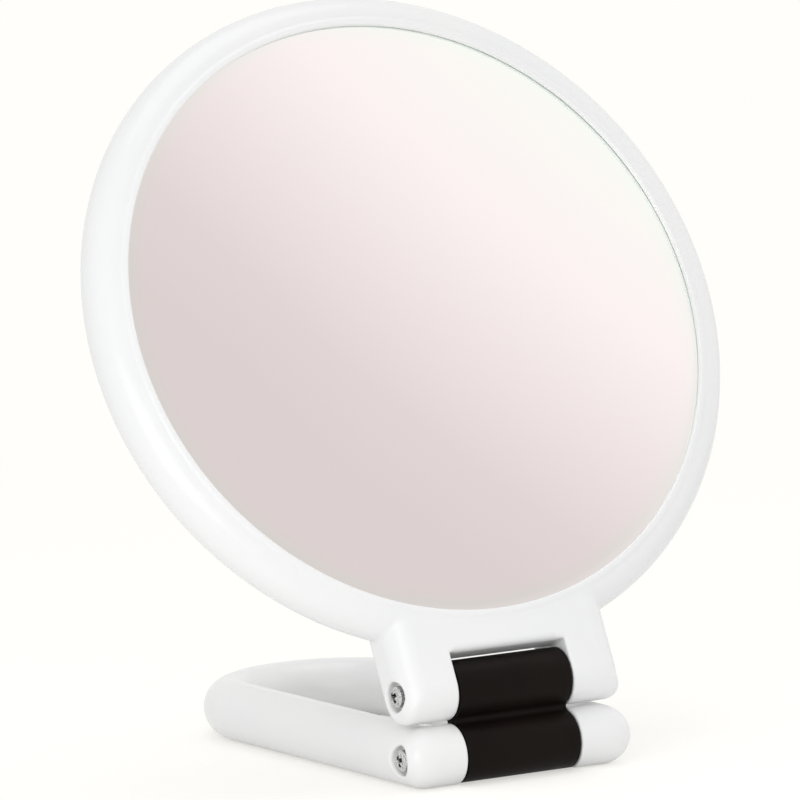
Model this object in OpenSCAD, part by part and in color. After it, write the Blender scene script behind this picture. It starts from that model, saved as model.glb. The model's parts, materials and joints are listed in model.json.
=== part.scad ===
// Double-sided magnifying hand mirror, standing on its folded loop handle.
// X runs along the two hinge axes, +X to the right as the user sees the mirror.
// Y runs from the hinge to the far end of the loop, and Z runs up from the surface.
// The origin is on the surface, at the middle of the part's bounding box.

/* [Handle] */
// Diameter of the round bar that the loop handle is made of
bar_d = 13; // [12.8:0.1:14]
// Overall length of the handle, from the front of its arms to the back of the loop
loop_len = 117.2; // [100:0.1:150]
// Straight length of each arm between the barrel and the inner side of the leg
arm_reach = 0.7; // [0.4:0.1:4]
// Radius of the front corners, seen from above, at the middle height of the bar
corner_r = 4.9; // [4:0.1:6]
// Depth of the flat that the handle rests on, cut off the underside of the bar
foot_depth = 0.2; // [0.1:0.05:0.3]
// Wall of the hollow handle shells
shell_wall = 2; // [1.6:0.1:2.6]
// Solid length behind the front corners, before the legs become hollow
solid_front = 13; // [12:0.5:20]

/* [Hinge block] */
// Length of the black double barrel along the hinge axes
barrel_len = 27.2; // [22:0.1:36]
// Step from the white arms and lugs down to the slightly thinner barrels, on the diameter
barrel_step = 0.3; // [0.2:0.1:1]
// Thickness of the waist between the two barrels
waist_t = 3.4; // [2:0.1:6]
// Chamfer on the end edges of the barrels
barrel_chamfer = 0.3; // [0.1:0.05:0.6]
// Gap between the ends of the barrel and the arms or lugs
side_gap = 0.3; // [0.2:0.05:0.5]
// Gap between the lugs and the handle arms when the mirror folds
fold_gap = 0.5; // [0.5:0.05:1.2]
// Angle that the block leans back from upright as the mirror stands
block_lean = 10; // [0:1:10]
// Angle that the mirror leans back from upright as it stands
mirror_tilt = 25; // [10:1:40]

/* [Pivots] */
// Shank diameter of the pivot screws
screw_d = 2.5; // [2:0.1:3]
// Length of the screw shank below its head
shank_len = 18; // [15:0.5:20]
// Diameter of the screw head
head_d = 4.7; // [4.2:0.1:5.4]
// Height of the screw head
head_h = 1.9; // [1.5:0.1:2.2]
// Height of the straight edge of the screw head, below its dome
head_edge = 1.4; // [0.6:0.1:1.4]
// Diameter of the recess round each screw head
recess_d = 6.4; // [6.2:0.1:7.4]
// Depth from the outer face of an arm to the top of the screw head
arm_recess = 0.7; // [0.2:0.1:2]
// Depth from the outer face of a lug to the top of the screw head
lug_recess = 0.2; // [0.1:0.1:1.5]
// Outer diameter of the bearing bushes
bush_d = 5.8; // [5:0.1:6]
// Diameter of the bush flange and of the friction washer
flange_d = 8.4; // [7.4:0.1:9]
// Thickness of the bush flange
flange_t = 1; // [0.8:0.1:1.4]
// Outer diameter of the threaded steel sleeve in each barrel
sleeve_d = 5.2; // [4.4:0.1:5.6]
// Thickness of the friction washers
washer_t = 1.1; // [0.8:0.1:1.6]
// Radial running clearance of a screw shank in its bush
run_gap = 0.06; // [0.02:0.01:0.09]
// End float between the turning pieces along the hinge axis
end_float = 0.1; // [0.05:0.05:0.1]

/* [Head frame] */
// Outer diameter of the round frame
ring_d = 150; // [120:1:180]
// Thickness of the round frame, front to back
head_t = 12.8; // [12.6:0.1:14]
// Radius of the rolled lip on the inner edge of each bezel
lip_r = 1.3; // [0.8:0.1:2]
// Distance from the upper hinge axis to the lowest point of the round frame
neck = 8; // [7.6:0.1:12]
// Width of each lug along the hinge axis
lug_w = 12.5; // [11.8:0.1:15]
// Radius on the outer upright edges of the lugs, at the front
lug_edge_r = 5.4; // [3:0.1:5.6]
// Radius on the outer upright edges of the lugs, at the rear
lug_rear_r = 3; // [2:0.1:5.6]
// Radius on the lower outer corner of the lugs, seen from the front
lug_corner_r = 2.5; // [1.5:0.1:5.8]
// Gap between the barrel and the front of the bridge that joins the lugs
bridge_gap = 0.4; // [0.4:0.05:1.2]
// Radius on the lower front edge of the bridge
bridge_r = 1.7; // [0.5:0.1:4]
// Step up from the underside of the bridge's front to that of its rear
bridge_step = 1; // [0.4:0.1:1.2]
// Radius on the lower rear edge of the bridge
bridge_rear_r = 4; // [0.5:0.1:4.6]
// Step from the crown of the round frame down to the flat front of the lugs
yoke_step = 0.15; // [0.15:0.05:0.4]

/* [Mirrors] */
// Depth of the mirror glass below the crown of the bezel
glass_recess = 1.1; // [0.9:0.1:2.2]
// Thickness of both mirror glasses
glass_t = 1.8; // [1.4:0.1:1.9]
// Depth of the hollow of the magnifying mirror
sag = 3.4; // [1.5:0.1:3.6]
// Width of the flat rim that shows round the hollow of the magnifying mirror
flat_rim = 0.6; // [0.4:0.1:8]
// Width of glass hidden under the bezel
glass_lap = 2.6; // [2:0.1:2.8]
// Radial clearance of the glasses in the frame
glass_gap = 0.3; // [0.2:0.05:0.4]
// Thickness of the core plate between the mirrors
plate_t = 1; // [0.8:0.1:1.1]
// Width of the foam ring behind the magnifying mirror
foam_w = 22; // [12:1:30]

/* [Hidden] */

$fn = 96;
arc_fn = 720;      // segments of the very large circles of the hollow glass
far = 400;         // longer than anything here, for half spaces
eps = 0.01;

// Handle
bar_r = bar_d / 2;
axis_z = bar_r - foot_depth;              // height of the lower hinge axis
hinge_y = bar_r - loop_len / 2;           // lower hinge axis, with the loop centred on Y
arm_in = barrel_len / 2 + side_gap;       // inner face of the arms and of the lugs
leg_x = arm_in + arm_reach + bar_r;       // centre line of each leg
arm_out = leg_x + bar_r;                  // outer side of the legs
loop_end = loop_len - bar_d;              // centre line of the loop's end, from the hinge axis
bend_y = loop_end - leg_x;                // where the legs run into the half-round end
corner_in = bar_r - corner_r;             // centre of each front corner's round, outside the centre lines
hollow_r = bar_r - shell_wall;
peg_r = 1.2;
peg_h = 2;
peg_gap = 0.05;
peg_y = solid_front - 4;
end_boss = 6;                             // length of the solid block at the middle of the loop's end

// Hinge block
head_r = head_t / 2;
pitch = bar_r + head_r + fold_gap;        // distance between the two hinge axes
barrel_d = min(bar_d, head_t) - barrel_step;

// Pivots
washer_seat = arm_in - end_float - washer_t;
washer_gap = 0.2;
lower_seat = arm_out - arm_recess - head_h;
lug_out = arm_in + lug_w;
upper_seat = lug_out - lug_recess - head_h;
slot_w = 0.9;
slot_len = 3.2;
slot_depth = 1.1;

// Head frame, measured up from the upper hinge axis
ring_r = ring_d / 2;
ring_h = neck + ring_r;                   // centre of the round frame
crown_r = ring_r - head_r;                // circle where the bezel is thickest
opening_r = crown_r - lip_r;
lug_t = head_t - 2 * yoke_step;
lug_r = lug_t / 2;
bridge_h = barrel_d / 2 + bridge_gap;     // underside of the bridge's front
yoke_top = ring_h - sqrt(pow(crown_r, 2) - pow(lug_out, 2)) + 1;
tongue_r = ring_r - 3;                    // middle of the tongue that locates the two frames
tongue_w = 0.8;
tongue_h = 0.9;
tongue_gap = 0.1;
frame_peg_x = arm_in + lug_w / 2;
frame_peg_h = bush_d / 2 + 5.6;

// Mirrors, as heights in front of the frame's middle plane
glass_face = head_r - glass_recess;
pocket_r = opening_r + glass_lap;
glass_r = pocket_r - glass_gap;
dish_r = opening_r - flat_rim;            // radius of the hollow in the magnifying glass
dish_R = (pow(dish_r, 2) + pow(sag, 2)) / (2 * sag);
dish_c = glass_face - sag + dish_R;       // centre of the hollow's sphere
foam_r = dish_r - 1;                      // outer edge of the foam ring
plate_gap = 0.1;                          // between the core plate and the back of the hollow
foam_gap = plate_gap + pow(foam_w, 2) / (8 * dish_R);   // its conical front clears the round glass
plate_face = glass_face - sag - glass_t - plate_gap;
plate_back = plate_face - plate_t;

// Height of the magnifying glass's rounded back at a radius from its middle.
function glass_back(r) = dish_c - glass_t - sqrt(pow(dish_R, 2) - pow(r, 2));

// Stands a child at the lower hinge axis, with its own Z along the leaning block.
module at_lower_axis() translate([0, hinge_y, axis_z]) children();
module in_block() at_lower_axis() rotate([-block_lean, 0, 0]) children();
module at_upper_axis() in_block() translate([0, 0, pitch]) children();
module in_head() at_upper_axis() rotate([block_lean - mirror_tilt, 0, 0]) children();

// Turns a child's Z to the front of the mirror, with its Y up, on the centre of the round frame.
module facing() translate([0, 0, ring_h]) rotate([90, 0, 0]) children();

// Turns a drawing of Y across and Z up into a body along X, from x0 to x1.
module along_x(x0, x1) translate([x0, 0, 0]) rotate([90, 0, 90]) linear_extrude(x1 - x0) children();

// Turns a child's Z to the right or, for side -1, to the left.
module outward(side) mirror([side < 0 ? 1 : 0, 0, 0]) rotate([0, 90, 0]) children();

module both_sides() {
  children();
  mirror([1, 0, 0]) children();
}

module tube(outer_d, inner_d, from, to) {
  translate([0, 0, from]) difference() {
    cylinder(d = outer_d, h = to - from);
    translate([0, 0, -1]) cylinder(d = inner_d, h = to - from + 2);
  }
}

// Handle: a round bar bent to a U, cut flat below, split along its middle plane

module bar_section(r) {
  intersection() {
    translate([-corner_in, 0]) circle(r);
    translate([0, -far / 2]) square([far, far]);
  }
}

module loop_end_bend(r) {
  translate([0, bend_y, 0]) rotate_extrude(angle = 180) translate([leg_x, 0]) circle(r);
}

module leg(r, from) {
  translate([leg_x, from, 0]) rotate([-90, 0, 0]) cylinder(r = r, h = bend_y - from);
}

// What lies on the arm's side of the upright plane through a front corner, or on the leg's side.
module mitre(arm_side) {
  translate([leg_x, 0, -bar_d]) rotate([0, 0, arm_side ? -135 : 45])
    translate([0, -far / 2, 0]) cube([far, far, 2 * bar_d]);
}

// An arm and a leg are mitred, and their outer corner is the bar's section turned about an upright line.
module handle_bar() {
  both_sides() {
    intersection() {
      translate([arm_in, 0, 0]) rotate([0, 90, 0]) cylinder(r = bar_r, h = leg_x + corner_in - arm_in);
      mitre(true);
    }
    intersection() {
      leg(bar_r, -corner_in);
      mitre(false);
    }
    translate([leg_x + corner_in, -corner_in, 0]) rotate([0, 0, -90])
      rotate_extrude(angle = 90) bar_section(bar_r);
  }
  loop_end_bend(bar_r);
}

module handle_hollow() {
  difference() {
    union() {
      both_sides() leg(hollow_r, solid_front);
      loop_end_bend(hollow_r);
    }
    translate([-end_boss / 2, bend_y, -bar_r]) cube([end_boss, leg_x + bar_r, bar_d]);
  }
}

module handle_pegs(r, h) {
  both_sides() translate([leg_x, peg_y, 0]) cylinder(r = r, h = h);
  translate([0, loop_end, 0]) cylinder(r = r, h = h);
}

module pivot_bores(seat, out) {
  for (side = [-1, 1]) outward(side) {
    cylinder(d = bush_d, h = seat);
    cylinder(d = flange_d, h = arm_in + flange_t);
    translate([0, 0, seat]) cylinder(d = recess_d, h = out - seat + 1);
  }
}

module handle_half(top) {
  intersection() {
    difference() {
      handle_bar();
      handle_hollow();
      pivot_bores(lower_seat, arm_out);
    }
    translate([-far / 2, -far / 2, top ? 0 : -axis_z]) cube([far, far, top ? far : axis_z]);
  }
}

module handle_top_shell() {
  color("whitesmoke") at_lower_axis() difference() {
    handle_half(true);
    translate([0, 0, -eps]) handle_pegs(peg_r + peg_gap, peg_h + 0.3);
  }
}

module handle_bottom_shell() {
  color("white") at_lower_axis() {
    handle_half(false);
    translate([0, 0, -1]) handle_pegs(peg_r, peg_h + 1);
  }
}

// Hinge block: two barrels side by side, joined by a narrow waist

module barrel() {
  half = barrel_len / 2;
  rotate([0, 90, 0]) rotate_extrude() polygon([
    [0, -half], [barrel_d / 2 - barrel_chamfer, -half], [barrel_d / 2, barrel_chamfer - half],
    [barrel_d / 2, half - barrel_chamfer], [barrel_d / 2 - barrel_chamfer, half], [0, half]]);
}

module barrel_bores() {
  rotate([0, 90, 0]) translate([0, 0, -barrel_len]) cylinder(d = sleeve_d, h = 2 * barrel_len);
  for (side = [-1, 1]) outward(side)
    translate([0, 0, washer_seat]) cylinder(d = flange_d + 2 * washer_gap, h = barrel_len);
}

module hinge_block() {
  color([0.08, 0.06, 0.055]) in_block() difference() {
    union() {
      barrel();
      translate([0, 0, pitch]) barrel();
      translate([-barrel_len / 2 + barrel_chamfer, -waist_t / 2, 0])
        cube([barrel_len - 2 * barrel_chamfer, waist_t, pitch]);
    }
    barrel_bores();
    translate([0, 0, pitch]) barrel_bores();
  }
}

// Pivots

module axle_sleeve() {
  color("silver") rotate([0, 90, 0]) tube(sleeve_d, screw_d, -washer_seat, washer_seat);
}

module friction_washer(side) {
  color("dimgray") outward(side)
    tube(flange_d, screw_d + 2 * washer_gap, washer_seat, washer_seat + washer_t);
}

module bush(side, seat) {
  color("ivory") outward(side) difference() {
    union() {
      translate([0, 0, arm_in]) cylinder(d = flange_d, h = flange_t);
      translate([0, 0, arm_in]) cylinder(d = bush_d, h = seat - arm_in);
    }
    cylinder(d = screw_d + 2 * run_gap, h = seat + 1);
  }
}

module head_dome() {
  rise = head_h - head_edge;
  dome_R = (pow(head_d / 2, 2) + pow(rise, 2)) / (2 * rise);
  rotate_extrude() {
    square([head_d / 2, head_edge]);
    intersection() {
      translate([0, head_h - dome_R]) circle(dome_R);
      translate([0, head_edge]) square([head_d / 2, rise]);
    }
  }
}

module pivot_screw(side, seat, turn) {
  color("lightgray") outward(side) translate([0, 0, seat + end_float]) {
    translate([0, 0, -shank_len]) cylinder(d = screw_d, h = shank_len);
    difference() {
      head_dome();
      rotate([0, 0, turn]) for (a = [0, 90]) rotate([0, 0, a])
        translate([-slot_len / 2, -slot_w / 2, head_h - slot_depth])
          cube([slot_len, slot_w, slot_depth + 1]);
    }
  }
}

// Head frame: two half frames that meet on the middle plane and clamp the mirrors

module ring_band() {
  rotate_extrude($fn = 180) {
    intersection() {
      translate([crown_r, 0]) circle(head_r);
      translate([crown_r, -head_r]) square([head_r, head_t]);
    }
    translate([opening_r, -head_r + lip_r]) square([lip_r, head_t - 2 * lip_r]);
    for (end = [-1, 1]) intersection() {
      translate([crown_r, end * (head_r - lip_r)]) circle(lip_r);
      translate([opening_r, end > 0 ? head_r - lip_r : -head_r]) square([lip_r, lip_r]);
    }
  }
}

module lug_side() {
  intersection() {
    circle(lug_r);
    translate([-lug_r, -lug_r]) square([lug_t, lug_r]);
  }
  translate([-lug_r, 0]) square([lug_t, yoke_top]);
}

module lug_plan() {
  difference() {
    translate([arm_in, -lug_r]) square([lug_w, lug_t]);
    for (edge = [[-1, lug_edge_r], [1, lug_rear_r]]) let (end = edge[0], r = edge[1])
      translate([lug_out - r, end * (lug_r - r)]) difference() {
        translate([0, end < 0 ? -r - 1 : 0]) square([r + 1, r + 1]);
        circle(r);
      }
  }
}

module lug_front() {
  difference() {
    translate([arm_in, -lug_r]) square([lug_w, lug_r + yoke_top]);
    translate([lug_out - lug_corner_r, lug_corner_r - lug_r]) difference() {
      translate([0, -lug_corner_r]) square([lug_corner_r + 1, lug_corner_r]);
      circle(lug_corner_r);
    }
  }
}

module lug() {
  intersection() {
    along_x(arm_in, lug_out) lug_side();
    translate([0, 0, -lug_r]) linear_extrude(lug_r + yoke_top) lug_plan();
    rotate([90, 0, 0]) translate([0, 0, -lug_r]) linear_extrude(lug_t) lug_front();
  }
}

module bridge_half(underside, edge_r) {
  difference() {
    translate([0, underside]) square([lug_r, yoke_top - underside]);
    translate([lug_r - edge_r, underside + edge_r]) difference() {
      translate([0, -edge_r - 1]) square([edge_r + 1, edge_r + 1]);
      circle(edge_r);
    }
  }
}

module bridge() {
  along_x(-arm_in, arm_in) {
    mirror([1, 0]) bridge_half(bridge_h, bridge_r);
    bridge_half(bridge_h + bridge_step, bridge_rear_r);
  }
}

module yoke() {
  difference() {
    union() {
      both_sides() lug();
      bridge();
    }
    facing() translate([0, 0, -head_t]) cylinder(r = crown_r + 0.6, h = 2 * head_t, $fn = 180);
  }
}

module frame_pegs(r, h) {
  rotate([90, 0, 0]) both_sides() translate([frame_peg_x, frame_peg_h, -h]) cylinder(r = r, h = h);
}

module frame_half(front) {
  difference() {
    intersection() {
      union() {
        facing() ring_band();
        yoke();
      }
      translate([-far / 2, front ? -far : 0, -far / 2]) cube(far);
    }
    facing() translate([0, 0, -glass_face]) cylinder(r = pocket_r, h = 2 * glass_face, $fn = 180);
    pivot_bores(upper_seat, lug_out);
  }
}

module front_frame() {
  color("white") in_head() {
    frame_half(true);
    frame_pegs(peg_r, peg_h);
    facing() rotate_extrude($fn = 180)
      translate([tongue_r - tongue_w / 2, -tongue_h]) square([tongue_w, tongue_h]);
  }
}

module rear_frame() {
  color("whitesmoke") in_head() difference() {
    frame_half(false);
    frame_pegs(peg_r + peg_gap, peg_h + 0.3);
    facing() rotate_extrude($fn = 180)
      translate([tongue_r - tongue_w / 2 - tongue_gap, -tongue_h - tongue_gap])
        square([tongue_w + 2 * tongue_gap, tongue_h + 2 * tongue_gap]);
  }
}

// Mirrors and what lies between them

module disc(r, from, to) translate([0, 0, from]) cylinder(r = r, h = to - from, $fn = 180);

module magnifying_mirror() {
  color("lightsteelblue") in_head() facing() rotate_extrude($fn = 180) {
    translate([dish_r, glass_face - glass_t]) square([glass_r - dish_r, glass_t]);
    difference() {
      intersection() {
        translate([0, dish_c - glass_t]) circle(dish_R, $fn = arc_fn);
        translate([0, -head_r]) square([dish_r, head_t]);
      }
      translate([0, dish_c]) circle(dish_R, $fn = arc_fn);
    }
  }
}

module plain_mirror() {
  color("lightblue") in_head() facing() disc(glass_r, -glass_face, glass_t - glass_face);
}

module core_plate() {
  color("gray") in_head() facing() disc(glass_r, plate_back, plate_face);
}

module front_foam_pad() {
  inner_r = foam_r - foam_w;
  color("khaki") in_head() facing() rotate_extrude($fn = 180) polygon([
    [inner_r, plate_face], [foam_r, plate_face],
    [foam_r, glass_back(foam_r) - foam_gap], [inner_r, glass_back(inner_r) - foam_gap]]);
}

module rear_foam_pad() {
  color("khaki") in_head() facing() disc(dish_r, glass_t - glass_face, plate_back);
}

handle_top_shell();
handle_bottom_shell();
at_lower_axis() bush(-1, lower_seat);  // lower_bush_left
at_lower_axis() bush(1, lower_seat);  // lower_bush_right
hinge_block();
in_block() axle_sleeve();  // lower_axle_sleeve
at_upper_axis() axle_sleeve();  // upper_axle_sleeve
in_block() pivot_screw(-1, lower_seat, 20);  // lower_screw_left
in_block() pivot_screw(1, lower_seat, 65);  // lower_screw_right
at_upper_axis() pivot_screw(-1, upper_seat, 38);  // upper_screw_left
at_upper_axis() pivot_screw(1, upper_seat, 5);  // upper_screw_right
in_block() friction_washer(-1);  // lower_washer_left
in_block() friction_washer(1);  // lower_washer_right
at_upper_axis() friction_washer(-1);  // upper_washer_left
at_upper_axis() friction_washer(1);  // upper_washer_right
front_frame();
rear_frame();
in_head() bush(-1, upper_seat);  // upper_bush_left
in_head() bush(1, upper_seat);  // upper_bush_right
core_plate();
front_foam_pad();
rear_foam_pad();
magnifying_mirror();
plain_mirror();
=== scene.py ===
# %% [markdown]
# # A folding magnifying mirror
# The object is a round hand mirror with a hollow, magnifying glass in front and a flat glass behind.
# It stands on its white loop handle. A black double barrel joins the two, with a pivot through each barrel.
# The measured parts come in first, in metres, each in the place where it sits on the standing mirror.
# Their sizes are right, but close to the eye they are plain, with harder edges than those of a moulding.
# So what the eye sees is made again: the soft white mouldings, the barrels, the screws and the two glasses.
# What lies inside keeps its measured shape, and every part gets a finish.

# %% Load the measured parts
import json
import math

import bmesh
import bpy
import numpy as np
from mathutils import Matrix, Vector


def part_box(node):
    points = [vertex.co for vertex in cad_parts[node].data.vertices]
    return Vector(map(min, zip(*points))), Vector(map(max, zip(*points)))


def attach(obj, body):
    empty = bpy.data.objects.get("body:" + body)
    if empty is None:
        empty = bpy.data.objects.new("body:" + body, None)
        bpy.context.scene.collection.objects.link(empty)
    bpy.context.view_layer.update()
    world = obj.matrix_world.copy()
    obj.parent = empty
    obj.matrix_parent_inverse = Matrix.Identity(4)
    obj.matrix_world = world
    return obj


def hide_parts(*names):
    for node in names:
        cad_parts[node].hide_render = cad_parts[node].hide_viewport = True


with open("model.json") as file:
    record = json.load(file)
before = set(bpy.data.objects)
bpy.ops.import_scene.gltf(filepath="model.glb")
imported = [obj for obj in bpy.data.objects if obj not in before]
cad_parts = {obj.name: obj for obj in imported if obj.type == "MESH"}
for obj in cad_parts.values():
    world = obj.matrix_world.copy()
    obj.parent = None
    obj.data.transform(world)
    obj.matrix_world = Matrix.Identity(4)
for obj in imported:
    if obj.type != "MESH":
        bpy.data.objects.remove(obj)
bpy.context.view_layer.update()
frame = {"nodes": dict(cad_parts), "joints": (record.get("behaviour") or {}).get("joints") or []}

MM = 0.001


# %% [markdown]
# ## Three places to work in
# A moulding is easiest to draw in its own place: the handle from the lower pivot, the head from the upper.
# Drawn straight on to the standing mirror, the head would have its tilt in every number.
# Each place below is a matrix that takes points in millimetres to the standing mirror,
# so a finished mesh holds its own place and its object never moves.

# %% The places of the handle, the block and the head
MIRROR_TILT = math.radians(25)      # how far the mirror leans back

lower_pivot, upper_pivot = (Vector(joint["pos_m"]) for joint in frame["joints"])
block_lean = math.atan2(upper_pivot.y - lower_pivot.y, upper_pivot.z - lower_pivot.z)
pitch = (upper_pivot - lower_pivot).length / MM


def place_at(pivot, lean):
    """From millimetres around a pivot, leaned back by an angle, to metres."""
    return Matrix.Translation(pivot) @ Matrix.Rotation(-lean, 4, "X") @ Matrix.Scale(MM, 4)


on_handle = place_at(lower_pivot, 0)
on_block = place_at(lower_pivot, block_lean)
on_head = place_at(upper_pivot, MIRROR_TILT)
print("the block leans", round(math.degrees(block_lean), 1), "degrees")
print("the pivots lie", round(pitch, 2), "mm apart")

# %% Finished meshes and objects
def settle(mesh, place, crisp):
    """Moves a mesh to its place and shades it smooth, apart from edges that turn by over crisp degrees."""
    mesh.transform(place)
    mesh.shade_smooth()
    mesh.set_sharp_from_angle(angle=math.radians(crisp))
    print(mesh.name, "has", len(mesh.polygons), "faces")


def show(name, data):
    """An object at the origin, in the scene."""
    made = bpy.data.objects.new(name, data)
    bpy.context.scene.collection.objects.link(made)
    return made


def piece(name, points, faces, place):
    """A smooth object from points and faces."""
    mesh = bpy.data.meshes.new(name)
    mesh.from_pydata(points, [], faces)
    settle(mesh, place, 50)
    return show(name, mesh)

# %% [markdown]
# ## Writing node trees as sentences
# Finishes and the repeated pieces are node trees, and a long tree is hard to read as a list of links.
# So one small class stands for a number that flows through a tree, and arithmetic on it adds the Math nodes.
# Every other node comes from one method: its type, its settings, and what goes into its sockets.

# %% A number in a tree, and the tree itself
class Flow:
    """The output of a node. Arithmetic on it adds Math nodes to its tree."""
    def __init__(self, recipe, socket):
        self.recipe, self.socket = recipe, socket

    def math(self, operation, *operands):
        return self.recipe.node("ShaderNodeMath", {"operation": operation}, dict(enumerate(operands)))

    def __add__(self, other):
        return self.math("ADD", self, other)

    def __sub__(self, other):
        return self.math("SUBTRACT", self, other)

    def __rsub__(self, other):
        return self.math("SUBTRACT", other, self)

    def __mul__(self, other):
        return self.math("MULTIPLY", self, other)

    def __truediv__(self, other):
        return self.math("DIVIDE", self, other)

    def __pow__(self, other):
        return self.math("POWER", self, other)

    def __gt__(self, other):
        return self.math("GREATER_THAN", self, other)

    def least(self, other):
        return self.math("MINIMUM", self, other)

    def most(self, other):
        return self.math("MAXIMUM", self, other)

    __radd__ = __add__
    __rmul__ = __mul__


class Recipe:
    """A node tree that is being written."""
    def __init__(self, tree):
        self.tree = tree
        tree.nodes.clear()

    def node(self, kind, settings=None, sockets=None, output=0):
        """Adds a node. A socket takes a constant, a flow, or a list of flows where it holds several."""
        made = self.tree.nodes.new(kind)
        for name, value in (settings or {}).items():
            if name == "stops":
                for spare in list(made.color_ramp.elements)[1:]:
                    made.color_ramp.elements.remove(spare)
                for i, (position, colour) in enumerate(value):
                    stop = made.color_ramp.elements[0] if i == 0 else made.color_ramp.elements.new(position)
                    stop.position, stop.color = position, colour
            else:
                setattr(made, name, value)
        for name, value in (sockets or {}).items():
            if isinstance(value, (Flow, list)):
                for flow in value if isinstance(value, list) else [value]:
                    self.tree.links.new(flow.socket, made.inputs[name])
            else:
                made.inputs[name].default_value = value
        return Flow(self, made.outputs[output]) if len(made.outputs) else made

    def mix(self, share, first, second):
        """Two colours, from the first at a share of 0 to the second at 1."""
        return self.node("ShaderNodeMix", {"data_type": "RGBA"}, {0: share, 6: first, 7: second}, output=2)

    def vector(self, operation, *operands, output=0):
        return self.node("ShaderNodeVectorMath", {"operation": operation}, dict(enumerate(operands)), output)

    def parts(self, vector):
        """The x, y and z of a vector."""
        apart = self.node("ShaderNodeSeparateXYZ", None, {0: vector}).socket.node
        return [Flow(self, socket) for socket in apart.outputs]

    def joined(self, x=0.0, y=0.0, z=0.0):
        """A vector from its x, y and z."""
        return self.node("ShaderNodeCombineXYZ", None, {0: x, 1: y, 2: z})

    def noise(self, where, scale, detail=2.0, rough=0.5):
        return self.node("ShaderNodeTexNoise", None,
                         {"Vector": where, "Scale": scale, "Detail": detail, "Roughness": rough})

    def spread(self, value, low, high):
        """0 below the low value and 1 above the high one, and even in between."""
        return self.node("ShaderNodeMapRange", None, {0: value, 1: low, 2: high})

    def looked_at(self):
        """Three numbers, each 0 or 1: seen by the camera, in a reflection, or through a clear part."""
        path = self.node("ShaderNodeLightPath").socket.node
        return [Flow(self, path.outputs[f"Is {kind} Ray"]) for kind in ("Camera", "Glossy", "Transmission")]


def new_finish(name):
    """An empty material and its recipe, with the object's own coordinates in metres."""
    material = bpy.data.materials.new(name)
    material.use_nodes = True
    recipe = Recipe(material.node_tree)
    return material, recipe, recipe.node("ShaderNodeTexCoord", output="Object")


def finish(name, colour, roughness, bump=None, bump_depth=0.0, **constants):
    """Ends a material: what varies is linked, and what is constant is set on the shader's own sockets."""
    recipe = colour.recipe
    surface = {"Base Color": colour, "Roughness": roughness, **constants}
    if bump is not None:
        surface["Normal"] = recipe.node("ShaderNodeBump", None,
                                        {"Height": bump, "Distance": bump_depth, "Strength": 1.0})
    shader = recipe.node("ShaderNodeBsdfPrincipled", None, surface)
    recipe.node("ShaderNodeOutputMaterial", None, {"Surface": shader})
    print("finish:", name, "with", len(recipe.tree.nodes), "nodes")


def rgb(red, green, blue):
    return (red, green, blue, 1.0)

# %% [markdown]
# ## Polished white plastic
# The frame and the handle are white plastic from a polished steel mould.
# A plain white with one gloss would do from afar. Up close the surface isn't a perfect mirror:
# it has a very slight orange peel, its gloss changes where hands have held it, and the white is a little uneven.
# All of that is noise at several scales. It is kept faint, because from arm's length the plastic looks clean.

# %% White plastic
white_plastic, recipe, where = new_finish("polished white plastic")
cloud = recipe.noise(where, 28.0, 3.0)
handled = recipe.spread(recipe.noise(where, 40.0, 3.0), 0.35, 0.65)
peel = recipe.noise(where, 900.0, 2.0)      # dimples of about a millimetre
fine = recipe.noise(where, 5200.0, 1.0)
white = recipe.mix(recipe.spread(cloud, 0.3, 0.7), rgb(0.885, 0.882, 0.874), rgb(0.862, 0.864, 0.867))
finish("white plastic", white, 0.22 + 0.03 * handled + 0.03 * fine,
       bump=0.8 * peel + 0.2 * fine, bump_depth=0.000008, **{"Specular IOR Level": 0.4})

# %% [markdown]
# ## How a moulding gets its soft joints
# The white parts are injection moulded.
# Where a lug meets the round frame the steel mould was rounded off, so no edge shows.
# Boxes and tubes joined with booleans keep a hard line there, and a bevel on such a line often fails.
# So each moulding is described as a distance instead: below zero inside the plastic, above zero outside.
# Distances can be joined softly, cut with a rounded edge, and then skinned with quads that follow the form.

# %% Joining and cutting distances
def soft_join(a, b, blend):
    """Both forms, with a soft hollow of about that width where they meet."""
    reach = np.maximum(blend - np.abs(a - b), 0) / blend
    return np.minimum(a, b) - reach * reach * blend / 4


def round_cut(a, b, radius):
    """What lies inside both forms, with the shared edge rounded to a radius."""
    a, b = a + radius, b + radius
    return np.minimum(np.maximum(a, b), 0) + np.hypot(np.maximum(a, 0), np.maximum(b, 0)) - radius


def ease(x, start, end):
    """From 0 at start to 1 at end, without a corner."""
    t = np.clip((x - start) / (end - start), 0, 1)
    return t * t * (3 - 2 * t)


print("a soft joint of 0.6 mm fills its corner by", round(float(-soft_join(0, 0, 0.6)), 3), "mm")

# %% [markdown]
# ## Skinning a form
# The space round a part is cut into cells that run along it: round the ring for the head,
# along the bar for the handle. Each cell that the surface passes through gets one corner,
# and the corners of neighbouring cells are joined by quads.
# Plain cubic cells would be simpler, but would lay a ripple over every highlight.
# These cells follow the part, so the quads and the highlights run along the ring and the bar.
# Last, the corners are evened out and slid on to the true surface.

# %% The skin of a form
def slide_on(form, points):
    """Points moved along the slope of the distance until it is zero."""
    step, longest, least_slope = 0.01, 0.4, 0.05
    for _ in range(4):
        slope = np.stack([(form(*(points + step * axis).T) - form(*(points - step * axis).T)) / (2 * step)
                          for axis in np.eye(3)], 1)
        shift = form(*points.T) / np.maximum((slope ** 2).sum(1), least_slope)
        points = points - np.clip(shift, -longest, longest)[:, None] * slope
    return points


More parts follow.
